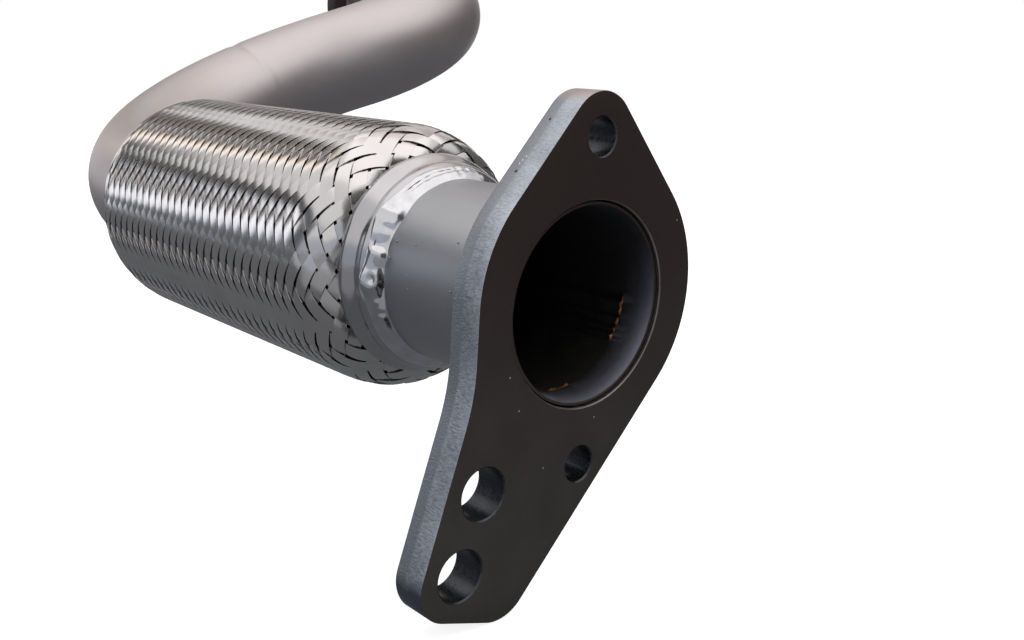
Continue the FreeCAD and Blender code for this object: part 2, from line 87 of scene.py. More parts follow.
class FLEX_sizes(bpy.types.PropertyGroup):
    """Sizes of the finished pieces that the frame doesn't give."""

    pipe_wall: bpy.props.FloatProperty(
        name="Pipe wall", description="Thickness of both tubes", default=1.5 * MM, unit="LENGTH")
    plate_edge: bpy.props.FloatProperty(
        name="Plate edge", description="Rounding of a plate's rim", default=0.45 * MM, unit="LENGTH")
    hole_edge: bpy.props.FloatProperty(
        name="Hole edge", description="Chamfer of the drilled holes", default=0.4 * MM, unit="LENGTH")
    strip_width: bpy.props.FloatProperty(
        name="Strip width", description="Width of a strip of the braid", default=4.05 * MM, unit="LENGTH")
    strip_thickness: bpy.props.FloatProperty(
        name="Strip thickness", description="Thickness of a strip", default=0.32 * MM, unit="LENGTH")
    strips_round: bpy.props.IntProperty(
        name="Strips round", description="Strips laid each way round the sleeve", default=24, min=4)
    row_pitch: bpy.props.FloatProperty(
        name="Row pitch", description="Axial distance between strips of one direction",
        default=5.3 * MM, unit="LENGTH")
    wave_height: bpy.props.FloatProperty(
        name="Wave height", description="Rise of a strip where it passes over two others",
        default=0.45 * MM, unit="LENGTH")
    folds: bpy.props.IntProperty(
        name="Folds", description="Folds of the bellows under the braid", default=14, min=2)
    weld_steps: bpy.props.IntProperty(
        name="Weld ripples", description="Ripples round a weld bead", default=64, min=8)


class FLEX_colours(bpy.types.PropertyGroup):
    """Colours of the finishes."""

    plate: bpy.props.FloatVectorProperty(
        name="Plate", description="Oxidised face of the plates", subtype="COLOR", size=4,
        default=linear("#393735"))
    plate_top: bpy.props.FloatVectorProperty(
        name="Plate top", description="Redder oxide at the top of the inlet plate", subtype="COLOR", size=4,
        default=linear("#2A1E1D"))
    cut_edge: bpy.props.FloatVectorProperty(
        name="Cut edge", description="Bare cut rim of the plates", subtype="COLOR", size=4,
        default=linear("#A8ADB6"))
    stub: bpy.props.FloatVectorProperty(
        name="Stub", description="Satin stainless of the inlet stub", subtype="COLOR", size=4,
        default=linear("#A5A6AA"))
    tube: bpy.props.FloatVectorProperty(
        name="Outlet pipe", description="Satin stainless of the bent pipe", subtype="COLOR", size=4,
        default=linear("#BFB8B8"))
    cap: bpy.props.FloatVectorProperty(
        name="Cap", description="Pressed stainless of the cap rings", subtype="COLOR", size=4,
        default=linear("#B2B0B2"))
    strip: bpy.props.FloatVectorProperty(
        name="Strip", description="Rolled stainless strip of the braid", subtype="COLOR", size=4,
        default=linear("#CDCAC9"))
    weld: bpy.props.FloatVectorProperty(
        name="Weld", description="Bright weld metal", subtype="COLOR", size=4,
        default=linear("#C8C8CB"))
    # Colour of the bellows, darkened as painted shade for the gaps of the weave
    inner: bpy.props.FloatVectorProperty(
        name="Inner", description="Dull sheet of the bellows", subtype="COLOR", size=4,
        default=linear("#5A5552"))
    liner: bpy.props.FloatVectorProperty(
        name="Liner", description="Sheet of the liner, tinted by heat", subtype="COLOR", size=4,
        default=linear("#8A6238"))


def put(tree, kind, *inputs, **settings):
    """Add a node with its settings. The kind is the node's type, or the operation of a Math node.

    An input is a value, a socket or a node, whose first output is used. It goes to the socket at its place,
    or to the one whose name is given with it.
    """
    if kind.isupper():
        kind, settings = "ShaderNodeMath", {"operation": kind}
    made = tree.nodes.new(kind)
    for key, value in settings.items():
        setattr(made, key, value)
    for place, given in enumerate(inputs):
        name, source = given if isinstance(given, tuple) and isinstance(given[0], str) else (place, given)
        socket = made.inputs[name]
        if isinstance(source, bpy.types.Node):
            tree.links.new(source.outputs[0], socket)
        elif isinstance(source, bpy.types.NodeSocket):
            tree.links.new(source, socket)
        else:
            socket.default_value = source
    return made


def fresh_material(name):
    """An empty material with its output node, ready for a shader."""
    material = bpy.data.materials.new(name)
    material.use_nodes = True
    tree = material.node_tree
    tree.nodes.clear()
    return material, tree, put(tree, "ShaderNodeOutputMaterial")


def grain(tree, size_mm, detail, stretch=(1, 1, 1)):
    """Noise on object coordinates, with features of about the size given, stretched along the axes given."""
    place = put(tree, "ShaderNodeTexCoord")
    turned = put(tree, "ShaderNodeMapping", ("Vector", place.outputs["Object"]), ("Scale", stretch))
    return put(tree, "ShaderNodeTexNoise", ("Vector", turned), ("Scale", 1 / (size_mm * MM)),
               ("Detail", detail))


def shade(colour, factor):
    """A linear colour made darker or lighter by a factor."""
    return tuple(c * factor for c in colour[:3]) + (1.0,)


def close_finish(tree, output, tone, fine, spread, roughness, strength, bump_mm, metallic=1.0):
    """End a finish: under its tone, the fine grain gives an uneven gloss and lifts the surface a little."""
    gloss = put(tree, "ShaderNodeMapRange", ("Value", fine), ("From Min", spread[0]), ("From Max", spread[1]),
                ("To Min", roughness[0]), ("To Max", roughness[1]))
    lift = put(tree, "ShaderNodeBump", ("Strength", strength), ("Distance", bump_mm * MM), ("Height", fine))
    shader = put(tree, "ShaderNodeBsdfPrincipled", ("Base Color", tone.outputs["Result"]),
                 ("Metallic", metallic), ("Roughness", gloss), ("Normal", lift))
    tree.links.new(shader.outputs[0], output.inputs["Surface"])
    return shader


def metal_finish(name, colour, dark, roughness, patch_mm, grain_mm, bump_mm):
    """A bare metal: broad patches between two tones over a fine grain."""
    material, tree, output = fresh_material(name)
    patch = grain(tree, patch_mm, 3.0)
    fine = grain(tree, grain_mm, 6.0)
    share = put(tree, "ShaderNodeMapRange", ("Value", patch), ("From Min", 0.35), ("From Max", 0.65))
    tone = put(tree, "ShaderNodeMix", ("Factor", share), ("A", dark), ("B", colour), data_type="RGBA")
    close_finish(tree, output, tone, fine, (0.3, 0.7), roughness, 0.6, bump_mm)


def ramp(tree, axis, low_mm, high_mm, wander_mm):
    """0 to 1 between two places on an object axis. The border wanders a little, as wear does."""
    place = put(tree, "ShaderNodeTexCoord")
    parts = put(tree, "ShaderNodeSeparateXYZ", place.outputs["Object"])
    moved = put(tree, "MULTIPLY_ADD", grain(tree, 5, 3.0), wander_mm * MM, parts.outputs[axis])
    middle = wander_mm / 2
    return put(tree, "ShaderNodeMapRange", ("Value", moved),
               ("From Min", (low_mm + middle) * MM), ("From Max", (high_mm + middle) * MM))


def pit(tree, place_mm, radius_mm):
    """1 inside a small round mark at a place on the object, 0 outside it."""
    place = put(tree, "ShaderNodeTexCoord")
    away = put(tree, "ShaderNodeVectorMath", place.outputs["Object"], [c * MM for c in place_mm],
               operation="DISTANCE")
    return put(tree, "ShaderNodeMapRange", ("Value", away.outputs["Value"]), ("From Min", 0.6 * radius_mm * MM),
               ("From Max", radius_mm * MM), ("To Min", 1.0), ("To Max", 0.0))


def plate_finish(name, dark, light, metallic, roughness, grain_mm, bump_mm, stretch=(1, 1, 1), layers=(),
                 pits=()):
    """One surface of the plates or the bore: cloudy tone over a fine grain.

    Layers are (axis, from, to, wander, colour): the colour takes over along the axis. Pits are
    (place, radius, colour): dark pits or pale specks.
    """
    material, tree, output = fresh_material(name)
    cloud = grain(tree, 16, 4.0)
    fine = grain(tree, grain_mm, 5.0, stretch)
    both = put(tree, "ADD", cloud, fine)
    share = put(tree, "ShaderNodeMapRange", ("Value", both), ("From Min", 0.72), ("From Max", 1.28))
    tone = put(tree, "ShaderNodeMix", ("Factor", share), ("A", dark), ("B", light), data_type="RGBA")
    marks = [(ramp(tree, axis, low, high, wander), colour) for axis, low, high, wander, colour in layers]
    marks += [(pit(tree, place, radius), colour) for place, radius, colour in pits]
    for share, colour in marks:
        tone = put(tree, "ShaderNodeMix", ("Factor", share), ("A", tone.outputs["Result"]), ("B", colour),
                   data_type="RGBA")
    shader = close_finish(tree, output, tone, fine, (0.3, 0.7), roughness, 0.7, bump_mm, metallic)
    shader.inputs["Specular IOR Level"].default_value = 0.3


def strip_finish(colour):
    """Cold-rolled stainless strip: bright, with fine lines along the strip from the rolls.

    The lines are about 0.45 mm wide and 17 mm long, drawn coarser than real ones so that they show.
    """
    material, tree, output = fresh_material("rolled_stainless_strip")
    along = put(tree, "ShaderNodeUVMap", uv_map="strip_uv")
    turned = put(tree, "ShaderNodeMapping", ("Vector", along), ("Scale", (60, 2200, 1)))
    lines = put(tree, "ShaderNodeTexNoise", ("Vector", turned), ("Scale", 1.0), ("Detail", 3.0))
    tone = put(tree, "ShaderNodeMix", ("Factor", grain(tree, 14, 2.0)), ("A", shade(colour, 0.82)),
               ("B", shade(colour, 1.08)), data_type="RGBA")
    close_finish(tree, output, tone, lines, (0.0, 1.0), (0.16, 0.27), 0.35, 0.03)


def all_materials():
    """Make each finish once and keep it by name."""
    colours = bpy.context.scene.flex_colours
    if "oxidised_plate_face" in bpy.data.materials:
        return bpy.data.materials
    fleck, dark_pit, scratch = linear("#959390"), linear("#272729"), linear("#DADDE1")
    # Hot-rolled face: brown-black and even, it eats light, and turns redder toward its top
    plate_finish("oxidised_plate_face", shade(colours.plate, 0.8), shade(colours.plate, 1.2), 0.0,
                 (0.5, 0.66), 0.6, 0.02, layers=[("Z", -75, 20, 14, colours.plate_top)],
                 pits=[((0.0, y, z), 0.3, fleck) for y, z in
                       ((-28.4, -16.2), (4.9, -32.7), (-14.1, -44.0), (-24.5, -25.9), (34.0, 22.0))])
    # Rim cut by a hot jet: blue-grey and grainy in front, burnished darker at the back, darker and bluer at the
    # foot
    plate_finish("jet_cut_rim", shade(colours.cut_edge, 0.6), shade(colours.cut_edge, 1.25), 0.9,
                 (0.36, 0.58), 0.45, 0.16, (0.35, 1, 1),
                 layers=[("X", -6.2, -7.2, 1.2, shade(colours.cut_edge, 0.7)),
                         ("Z", 54, 57, 2, linear("#AA9D9A")),
                         ("Z", -66, -71, 7, linear("#595D6C"))],
                 pits=[((-7.7, -12.5, 49.6), 0.5, dark_pit), ((-7.4, -23.7, 36.3), 0.55, dark_pit),
                       ((-8.0, -22.1, 38.2), 0.3, scratch), ((-7.7, -21.3, 39.1), 0.3, scratch),
                       ((-7.3, -20.4, 40.1), 0.3, scratch)])
    # Drilled wall: smoother, with a cold gleam where it meets the light, and darkened as painted shade inside
    # the holes
    plate_finish("drilled_wall_painted_shade", shade(colours.cut_edge, 0.08), shade(colours.cut_edge, 0.2), 0.9,
                 (0.22, 0.4), 0.7, 0.03)
    # Turned wall of the bore: brown-grey, a thin dull line round the pipe's mouth
    plate_finish("bored_wall", linear("#696561"), linear("#847E7C"), 0.9, (0.35, 0.5), 0.7, 0.03)
    # Inside of the stub: matt and dark, with painted light toward the mouth, paler and colder, and painted
    # shade toward the top
    plate_finish("bore_painted_light_and_shade", linear("#3F3E3C"), linear("#555350"), 1.0, (0.48, 0.6), 0.8, 0.02,
                 layers=[("X", -12, -2, 1.5, linear("#A4A6B5")), ("Z", -12, 16, 2, linear("#59595D"))])
    strip_finish(colours.strip)
    # Drawn tube: an even satin, colder on the stub and softer on the bent pipe, that keeps long highlights
    metal_finish("satin_stainless_stub", colours.stub, shade(colours.stub, 0.93), (0.35, 0.45), 45, 0.5, 0.02)
    metal_finish("satin_stainless_bend", colours.tube, shade(colours.tube, 0.94), (0.43, 0.53), 60, 0.5, 0.02)
    # Pressed cap: smoother than the tube, so its roll carries a soft bright line
    metal_finish("pressed_stainless_cap", colours.cap, shade(colours.cap, 0.92), (0.16, 0.22), 14, 1.5, 0.004)
    # Weld metal: bright as poured, with a broken gloss
    metal_finish("bright_weld_metal", colours.weld, shade(colours.weld, 0.85), (0.1, 0.2), 5, 1.2, 0.008)
    # Weld at the outlet: dulled to brown-grey by heat
    metal_finish("heat_dulled_weld", linear("#6F6C6C"), linear("#555252"), (0.3, 0.45), 6, 1.2, 0.02)
    # Thin sheet of the bellows: dull grey-brown, darkened as painted shade for the gaps of the weave
    metal_finish("bellows_sheet_painted_shade", colours.inner, shade(colours.inner, 0.6), (0.35, 0.5), 10, 0.8, 0.03)
    # Liner and inner ridge: tinted to copper by heat, seen as broken glints in the dark bore
    metal_finish("heat_tinted_liner", colours.liner, shade(colours.liner, 0.25), (0.3, 0.5), 1.6, 0.5, 0.05)
    return bpy.data.materials


def finish_piece(name, mesh, material, body=None, node=None, smooth_angle=32):
    """Put a mesh in the scene as a piece, with its finish, its body and the CAD node that it stands for."""
    piece = bpy.data.objects.new(name, mesh)
    bpy.context.scene.collection.objects.link(piece)
    mesh.materials.clear()
    mesh.materials.append(all_materials()[material])
    mesh.shade_smooth()
    mesh.set_sharp_from_angle(angle=math.radians(smooth_angle))
    if body:
        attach(piece, body)
    if node:
        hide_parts(node)
    return piece


def mesh_from(name, make):
    """A mesh filled in by a function that gets a bmesh."""
    grid = bmesh.new()
    make(grid)
    bmesh.ops.recalc_face_normals(grid, faces=grid.faces)
    mesh = bpy.data.meshes.new(name)
    grid.to_mesh(mesh)
    grid.free()
    return mesh


def lathe(grid, outline, segments, centre=(0, 0), bump=None):
    """Turn a closed outline of (along, out) about the X axis. bump moves a point from its place and angle."""
    rings = []
    for number in range(segments):
        angle = math.tau * number / segments
        ring = []
        for index, (along, out) in enumerate(outline):
            if bump:
                along, out = bump(index, along, out, angle)
            place = (along, centre[0] + out * math.cos(angle), centre[1] + out * math.sin(angle))
            ring.append(grid.verts.new(place))
        rings.append(ring)
    join_rings(grid, rings, True)


def join_rings(grid, rings, closed):
    """Faces between rings of the same number of points, each ring closed on itself."""
    pairs = list(zip(rings, rings[1:]))
    if closed:
        pairs.append((rings[-1], rings[0]))
    for here, after in pairs:
        for k in range(len(here)):
            following = (k + 1) % len(here)
            grid.faces.new((here[k], here[following], after[following], after[k]))


def belt(rounds, inset=0.0):
    """Points of an outline that runs round circles like a belt, anticlockwise, moved in by an inset.

    Each round is (across, up, radius, side): side 1 turns left round it, side -1 right, as in a hollow.
    """
    data = [(Vector((y, z)), radius - side * inset, side) for y, z, radius, side in rounds]
    count = len(data)
    leave = [None] * count
    arrive = [None] * count
    for i, (centre, radius, side) in enumerate(data):
        after, after_radius, after_side = data[(i + 1) % count]
        span = after - centre
        lean = math.asin((after_side * after_radius - side * radius) / span.length)
        heading = math.atan2(span.y, span.x) - lean
        left = Vector((-math.sin(heading), math.cos(heading)))
        leave[i] = centre - left * (side * radius)
        arrive[(i + 1) % count] = after - left * (after_side * after_radius)
    points = []
    for i, (centre, radius, side) in enumerate(data):
        first = arrive[i] - centre
        turn = side * ((side * -first.angle_signed(leave[i] - centre)) % math.tau)
        steps = max(3, round(abs(turn) / math.radians(2.5)))
        for k in range(steps + 1):
            points.append(centre + Matrix.Rotation(turn * k / steps, 2) @ first)
    return points


def plate_mesh(grid, rounds, holes, face, thickness, edge):
    """A plate with a rounded rim and chamfered holes. It grows from its face by a signed thickness."""
    way = math.copysign(1, thickness)
    back = face + thickness
    turn = ((0.0, 1.0), (0.3, 0.3), (1.0, 0.0))
    levels = [(face + way * edge * deep, edge * inset) for deep, inset in turn]
    levels += [(back - way * edge * deep, edge * inset) for deep, inset in reversed(turn)]
    walls = [[[grid.verts.new((x, p.x, p.y)) for p in belt(rounds, inset + FRAME_HAIR)] for x, inset in levels]]
    for y, z, radius, chamfer in holes:
        rings = []
        depths = (face, chamfer), (face + way * chamfer, 0.0), (back - way * chamfer, 0.0), (back, chamfer)
        for x, widen in depths:
            ring = []
            for k in range(HOLE_SEGMENTS):
                angle = math.tau * k / HOLE_SEGMENTS
                out = radius + widen
                ring.append(grid.verts.new((x, y + out * math.cos(angle), z + out * math.sin(angle))))
            rings.append(ring)
        walls.append(rings)
    for rings in walls:
        join_rings(grid, rings, False)
    for end in (0, -1):
        loops = [rings[end] for rings in walls]
        edges = [grid.edges.get(pair) for loop in loops for pair in zip(loop, loop[1:] + loop[:1])]
        bmesh.ops.triangle_fill(grid, use_beauty=True, edges=edges)


def give_walls_finish(mesh, holes, rim):
    """Give the rim, the bore's wall and the walls of the drilled holes their own finishes."""
    for name in (rim, "bored_wall", "drilled_wall_painted_shade"):
        mesh.materials.append(all_materials()[name])
    for face in mesh.polygons:
        if abs(face.normal.x) > 0.8:
            continue
        y, z = face.center.y, face.center.z
        inside = [math.hypot(y - hole[0], z - hole[1]) < hole[2] + 0.8 * MM for hole in holes]
        face.material_index = 1
        if any(inside):
            face.material_index = 2 if inside[0] else 3


# Outline of the plates, in millimetres from the bore's centre: across (+Y) and up (+Z)
STUD_REACH = 45.75
STUD_RADIUS = 5.25
LOBE_RADIUS = 12.0
BORE_RADIUS = 29.0
BORE_CHAMFER = 0.3 * MM
HOLE_SEGMENTS = 72
BODY_ROUND = (1.0, 2.0, 41.0, 1)
OUTLET_ROUND = (0, 0, 40, 1)

# The leg, in millimetres from its lower hole: its outer edge, its end, the hollow above it and its two corners
LEG_TILT = math.radians(17.1)
LOWER_HOLE = (-41.9, -68.3)
LEG_HOLE_RADIUS = 7.25
LEG_HOLE_SPACING = 22.4
LEG_EDGE = 12.5
LEG_END = 13
HOLLOW_UP = 38
HOLLOW_RADIUS = 60
OUTER_CORNER = 11
INNER_CORNER = 12
INNER_CORNER_IN = 14.5

# The frame's own mesh runs this much inside its round edges, and the finished plates stay within it
FRAME_HAIR = 0.015 * MM


def leg_point(down, outward):
    """A place on the leg, in millimetres, from its lower hole: down along the leg and out to its edge."""
    across = LOWER_HOLE[0] - down * math.sin(LEG_TILT) - outward * math.cos(LEG_TILT)
    up = LOWER_HOLE[1] - down * math.cos(LEG_TILT) + outward * math.sin(LEG_TILT)
    return across, up


def in_metres(rows, centre):
    """Rounds or holes given in millimetres, as metres about a centre."""
    return [(centre[0] + y * MM, centre[1] + z * MM, r * MM, last) for y, z, r, last in rows]


class FLEX_OT_plates(bpy.types.Operator):
    """Build the inlet plate with its leg and the outlet plate"""

    bl_idname = "flex.plates"
    bl_label = "Plates"

    def execute(self, context):
        sizes = context.scene.flex_sizes
        chamfer = sizes.hole_edge
        inlet = [
            (0, STUD_REACH, LOBE_RADIUS, 1),
            BODY_ROUND,
            (*leg_point(-HOLLOW_UP, LEG_EDGE + HOLLOW_RADIUS), HOLLOW_RADIUS, -1),
            (*leg_point(LEG_END - OUTER_CORNER, LEG_EDGE - OUTER_CORNER), OUTER_CORNER, 1),
            (*leg_point(LEG_END - INNER_CORNER, -INNER_CORNER_IN), INNER_CORNER, 1),
            BODY_ROUND,
        ]
        outlet = [
            (0, STUD_REACH, LOBE_RADIUS, 1),
            OUTLET_ROUND,
            (0, -STUD_REACH, LOBE_RADIUS, 1),
            OUTLET_ROUND,
        ]
        shared = [(0, 0, BORE_RADIUS, BORE_CHAMFER)]
        shared += [(0, reach, STUD_RADIUS, chamfer) for reach in (STUD_REACH, -STUD_REACH)]
        leg = [
            (*LOWER_HOLE, LEG_HOLE_RADIUS, chamfer),
            (*leg_point(-LEG_HOLE_SPACING, 0), LEG_HOLE_RADIUS, chamfer),
        ]
        for name, rounds, holes, centre, face, thickness, rim, body, node in (
            ("inlet_plate", inlet, shared + leg, (0.0, 0.0), PLATE_HIGH.x, PLATE_LOW.x - PLATE_HIGH.x,
             "jet_cut_rim", "inlet_end", "inlet_flange"),
            ("outlet_plate", outlet, shared, OUTLET_AXIS, OUTLET_LOW.x, OUTLET_HIGH.x - OUTLET_LOW.x,
             "oxidised_plate_face", "outlet_end", "outlet_flange"),
        ):
            holes = in_metres(holes, centre)
            mesh = mesh_from(name, lambda grid: plate_mesh(
                grid, in_metres(rounds, centre), holes, face, thickness, sizes.plate_edge))
            finish_piece(name, mesh, "oxidised_plate_face", body, node)
            give_walls_finish(mesh, holes, rim)
        return {"FINISHED"}


# Route of the outlet pipe, in its own plane, which is rolled about the inlet axis
BEND_ROLL = math.radians(23.4)
BEND_ANGLE = math.radians(119.7)
NEAR_BEND = 105.0 * MM
FAR_BEND = 57.0 * MM
BEND_LEAD = 5.3 * MM
BEND_LINK = 10.0 * MM
OUTLET_RUN = 41.9 * MM
END_INSIDE = 5.0 * MM
CREASE_TURN = math.radians(90.3)
CREASE_DEPTH = 0.45 * MM
CREASE_WIDTH = 2.4 * MM
TUBE_LIP = 0.6 * MM


def outlet_route(step=2.5, fine_step=0.5):
    """Stations along the outlet pipe, from inside the rear cap to its mouth: place, heading and dip.

    The dip is the depth of the shallow crease that the bender left in the first bend.
    """
    place = Vector((REAR_NOSE + END_INSIDE, 0))
    stations = [(place.copy(), math.pi, 0.0)]
    place.x = REAR_NOSE - BEND_LEAD
    heading = math.pi
    for radius, turn in ((NEAR_BEND, -1), (FAR_BEND, 1)):
        done = 0.0
        while True:
            away = (done - CREASE_TURN) * radius
            dip = CREASE_DEPTH * math.exp(-(away / CREASE_WIDTH) ** 2) if turn < 0 else 0.0
            stations.append((place.copy(), heading, dip))
            if done >= BEND_ANGLE - 1e-6:
                break
            fine = turn < 0 and abs(away) < 4 * CREASE_WIDTH
            share = min(math.radians(fine_step if fine else step), BEND_ANGLE - done)
            middle = heading + turn * share / 2
            place += Vector((math.cos(middle), math.sin(middle))) * (2 * radius * math.sin(share / 2))
            heading += turn * share
            done += share
        if turn < 0:
            place += Vector((math.cos(heading), math.sin(heading))) * BEND_LINK
    place += Vector((math.cos(heading), math.sin(heading))) * OUTLET_RUN
    stations.append((place.copy(), heading, 0.0))
    return stations


def tube_mesh(grid, stations, outer, wall, lip, segments=112):
    """A bent tube with a rounded mouth: an outer skin, an inner skin, the mouth's lip and a flat end."""
    roll = Matrix.Rotation(BEND_ROLL, 3, "X")

    def ring(place, heading, radius):
        side = Vector((-math.sin(heading), math.cos(heading), 0))
        made = []
        for k in range(segments):
            angle = math.tau * k / segments
            offset = side * (radius * math.cos(angle)) + Vector((0, 0, radius * math.sin(angle)))
            made.append(grid.verts.new(roll @ (Vector((place.x, place.y, 0)) + offset)))
        return made

    mouth_place, mouth_heading, _ = stations[-1]
    ahead = Vector((math.cos(mouth_heading), math.sin(mouth_heading)))
    rings = [ring(place, heading, outer - dip) for place, heading, dip in stations[:-1]]
    for back, shrink in ((lip, 0), (0.3 * lip, 0.3 * lip), (0, lip)):
        rings.append(ring(mouth_place - ahead * back, mouth_heading, outer - shrink))
    rings.append(ring(mouth_place - ahead * lip, mouth_heading, outer - wall))
    for place, heading, dip in reversed(stations[:-1]):
        if dip < 0.02 * MM:
            rings.append(ring(place, heading, outer - wall))
    join_rings(grid, rings, True)


def add_beads(grid, beads):
    """Small round drops of weld spatter stuck to the stub, each (along, angle, radius)."""
    for along, degrees, radius in beads:
        angle = math.radians(degrees)
        out = PIPE_RADIUS + 0.3 * radius * MM
        place = Vector((along * MM, out * math.cos(angle), out * math.sin(angle)))
        bmesh.ops.create_icosphere(grid, subdivisions=2, radius=radius * MM, matrix=Matrix.Translation(place))


# Segments round the stub and the caps
ROUND_SEGMENTS = 240

# The stub's mouth opens a little over this length, by this much
MOUTH_LENGTH = 5.5 * MM
MOUTH_FLARE = 0.6 * MM

# Behind the plate the weld shows through as a low broken ridge, tinted by heat: its place, its half width,
# its rise and its arcs in degrees round the bore from +Y
ROOT_RIDGE = -12.3 * MM
ROOT_HALF = 0.55 * MM
ROOT_RISE = 0.4 * MM
ROOT_ARCS = ((325, 357), (262, 286))

# Spatter seen on the stub: millimetres along it, degrees round it from +Y, radius in millimetres
SPATTER = (
    (-53.9, 156.6, 0.36),
    (-54.8, 167.2, 0.28),
    (-45.0, 156.2, 0.24),
    (-45.6, 174.8, 0.26),
    (-44.8, 182.0, 0.22),
    (-25.9, 176.6, 0.32),
    (-28.3, 149.2, 0.3),
    (-52.6, 176.0, 0.2),
)


def root_share(degrees):
    """1 on the arcs of the inner ridge, 0 away from them."""
    return min(max(max(min(degrees - first, last - degrees) for first, last in ROOT_ARCS) / 3, 0.0), 1.0)


def stub_outline(wall):
    """Section of the stub, with the flared mouth and the three points of the inner ridge, 5 to 7."""
    edge = 0.15 * MM
    outline = [(STUB_HIGH.x, PIPE_RADIUS - edge), (STUB_HIGH.x - edge, PIPE_RADIUS),
               (STUB_LOW.x, PIPE_RADIUS), (STUB_LOW.x, PIPE_RADIUS - wall)]
    for k in range(5):
        outline.append((ROOT_RIDGE + ROOT_HALF * (k - 2) / 2, PIPE_RADIUS - wall))
    for k in range(13):
        share = k / 12
        outline.append((STUB_HIGH.x - edge - MOUTH_LENGTH * (1 - share),
                        PIPE_RADIUS - wall + MOUTH_FLARE * share ** 2))
    outline.append((STUB_HIGH.x, PIPE_RADIUS - wall + MOUTH_FLARE + edge))
    return outline


def raise_root(index, along, out, angle):
    """Lift the middle points of the inner ridge by an uneven amount."""
    if 5 <= index <= 7:
        uneven = max(0.0, 1 + 2.2 * noise.noise((30 * math.cos(angle), 30 * math.sin(angle), 3)))
        out -= ROOT_RISE * uneven * root_share(math.degrees(angle)) * (0.7, 1.0, 0.7)[index - 5]
    return along, out


def give_bore_finish(mesh, wall):
    """Give the inside of the stub its dark finish with painted light and shade, the ridge its heat tint and the
    cut end the plate's oxide.
    """
    for name in ("bore_painted_light_and_shade", "heat_tinted_liner", "oxidised_plate_face"):
        mesh.materials.append(all_materials()[name])
    for face in mesh.polygons:
        x, y, z = face.center
        if face.normal.x > 0.5 and x > STUB_HIGH.x - 0.2 * MM:
            face.material_index = 3
        elif math.hypot(y, z) < PIPE_RADIUS - 0.5 * wall:
            tinted = abs(x - ROOT_RIDGE) < ROOT_HALF and root_share(math.degrees(math.atan2(z, y)) % 360) > 0
            face.material_index = 2 if tinted else 1


class FLEX_OT_tubes(bpy.types.Operator):
    """Build the inlet stub and the bent outlet pipe"""

    bl_idname = "flex.tubes"
    bl_label = "Tubes"

    def execute(self, context):
        wall = context.scene.flex_sizes.pipe_wall

        def fill(grid):
            lathe(grid, stub_outline(wall), ROUND_SEGMENTS, bump=raise_root)
            add_beads(grid, SPATTER)

        mesh = mesh_from("inlet_tube", fill)
        finish_piece("inlet_tube", mesh, "satin_stainless_stub", "inlet_end", "inlet_stub")
        give_bore_finish(mesh, wall)
        mesh = mesh_from("outlet_tube", lambda grid: tube_mesh(
            grid, outlet_route(), PIPE_RADIUS, wall, TUBE_LIP))
        finish_piece("outlet_tube", mesh, "satin_stainless_bend", "outlet_end", "outlet_pipe")
        return {"FINISHED"}


# Section of a cap ring, in millimetres
CAP_WALL = 1.6
CAP_INNER = 31.3
NOSE_LENGTH = 3.4
LIP_START = 4.7
LIP_RISE = 2.3
LIP_LENGTH = 3.8
CAP_DEPTH = 11.0
ROLL_RADIUS = 1.3
SHOULDER = 16.0
LAYER_GAP = 0.3


def smooth(share):
    """An even rise from 0 to 1 that starts and ends level."""
    return 0.5 - 0.5 * math.cos(math.pi * min(max(share, 0.0), 1.0))


def cap_outline(nose, way):
    """Section of a cap ring from its nose, going along way: a round nose, a soft hollow and a full roll."""
    pipe = PIPE_RADIUS / MM
    outline = [(0, pipe)]
    reach = CAP_DEPTH - ROLL_RADIUS
    for k in range(37):
        x = reach * k / 36
        lip = smooth((x - LIP_START) / (reach - LIP_START))
        outline.append((x, CAP_INNER + CAP_WALL * smooth(x / NOSE_LENGTH) + LIP_RISE * lip))
    crest = CAP_INNER + CAP_WALL + LIP_RISE
    for k in range(1, 11):
        angle = math.pi / 2 * k / 10
        outline.append((reach + ROLL_RADIUS * math.sin(angle), crest - ROLL_RADIUS * (1 - math.cos(angle))))
    back = [
        (CAP_DEPTH, CAP_INNER + LIP_RISE),
        (CAP_DEPTH - LIP_LENGTH, CAP_INNER),
        (CAP_WALL, CAP_INNER),
        (CAP_WALL, pipe),
    ]
    return [(nose + way * x * MM, out * MM) for x, out in outline + back]


class FLEX_OT_caps(bpy.types.Operator):
    """Build the two rolled cap rings"""

    bl_idname = "flex.caps"
    bl_label = "Cap rings"

    def execute(self, context):
        for name, nose, way, body, node in (
            ("front_cap", FRONT_NOSE, -1, "inlet_end", "front_cap_ring"),
            ("rear_cap", REAR_NOSE, 1, "outlet_end", "rear_cap_ring"),
        ):
            outline = cap_outline(nose, way)
            mesh = mesh_from(name, lambda grid: lathe(grid, outline, ROUND_SEGMENTS))
            finish_piece(name, mesh, "pressed_stainless_cap", body, node, 60)
        return {"FINISHED"}


# A weld: points across its skin, how much of its leg the ripples, the roughness and the lumps take, the size
# of the roughness, and how far along the pipe the skin moves for each step out
WELD_STEPS = 17
RIPPLE_SHARE = 0.025
ROUGH_SHARE = 0.06
LUMP_SHARE = 0.1
ROUGH_SIZE = 2.4 * MM
MOVE_SHARE = 0.7


